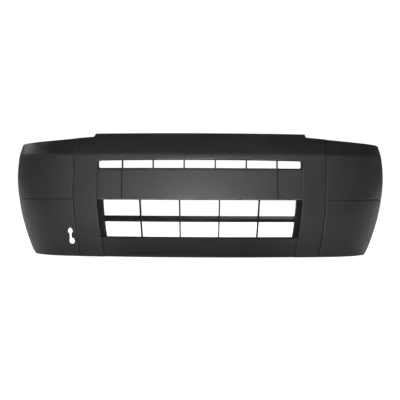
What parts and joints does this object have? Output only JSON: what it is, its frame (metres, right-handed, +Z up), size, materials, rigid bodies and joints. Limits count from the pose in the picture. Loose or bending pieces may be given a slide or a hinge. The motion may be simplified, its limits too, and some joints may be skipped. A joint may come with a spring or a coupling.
{
  "type": "bumper cover",
  "caption": "Front bumper cover of a small van with slim upper grille, number plate panel, lower grille, valance and wrap-round corners.",
  "frame": {"origin": "centre of the bounding box in plan, at the level of the bottom edges", "axes": "+X to the right seen from the front, the front faces -Y, +Z up"},
  "size_m": [1.7, 0.4599, 0.535],
  "materials": {
    "skin": "fine-grained matte",
    "panel": "fine-grained matte",
    "grille": "matte black",
    "coated_steel": "black dip coating",
    "screw_steel": "zinc plated",
    "spring_steel": "phosphated",
    "rivet": "satin black"
  },
  "bodies": {
    "cover": {"centre_skin": "skin", "corner_skin_left": "skin", "corner_skin_right": "skin", "upper_grille": "grille", "plate_panel": "panel", "infill_left": "panel", "infill_right": "panel", "lower_grille": "grille", "valance": "panel", "top_rail": "coated_steel", "wing_bracket_left": "coated_steel", "wing_bracket_right": "coated_steel", "seam_screws_left": "screw_steel", "seam_screws_right": "screw_steel", "spring_nuts_left": "spring_steel", "spring_nuts_right": "spring_steel", "upper_grille_screws": "screw_steel", "plate_panel_screws": "screw_steel", "infill_screws": "screw_steel", "lower_grille_screws": "screw_steel", "valance_screws": "screw_steel", "bracket_screws_left": "screw_steel", "bracket_screws_right": "screw_steel", "rivet_sleeve_1": "rivet", "rivet_sleeve_2": "rivet", "rivet_sleeve_3": "rivet", "rivet_sleeve_4": "rivet", "rivet_sleeve_5": "rivet"},
    "pin_1": {"rivet_pin_1": "rivet"},
    "pin_2": {"rivet_pin_2": "rivet"},
    "pin_3": {"rivet_pin_3": "rivet"},
    "pin_4": {"rivet_pin_4": "rivet"},
    "pin_5": {"rivet_pin_5": "rivet"}
  },
  "joints": [
    {"name": "pin_1_slide", "type": "slide", "parent": "cover", "child": "pin_1", "axis": [0, 0, 1], "range_m": [0, 0.009]},
    {"name": "pin_2_slide", "type": "slide", "parent": "cover", "child": "pin_2", "axis": [0, 0, 1], "range_m": [0, 0.009]},
    {"name": "pin_3_slide", "type": "slide", "parent": "cover", "child": "pin_3", "axis": [0, 0, 1], "range_m": [0, 0.009]},
    {"name": "pin_4_slide", "type": "slide", "parent": "cover", "child": "pin_4", "axis": [0, 0, 1], "range_m": [0, 0.009]},
    {"name": "pin_5_slide", "type": "slide", "parent": "cover", "child": "pin_5", "axis": [0, 0, 1], "range_m": [0, 0.009]}
  ]
}
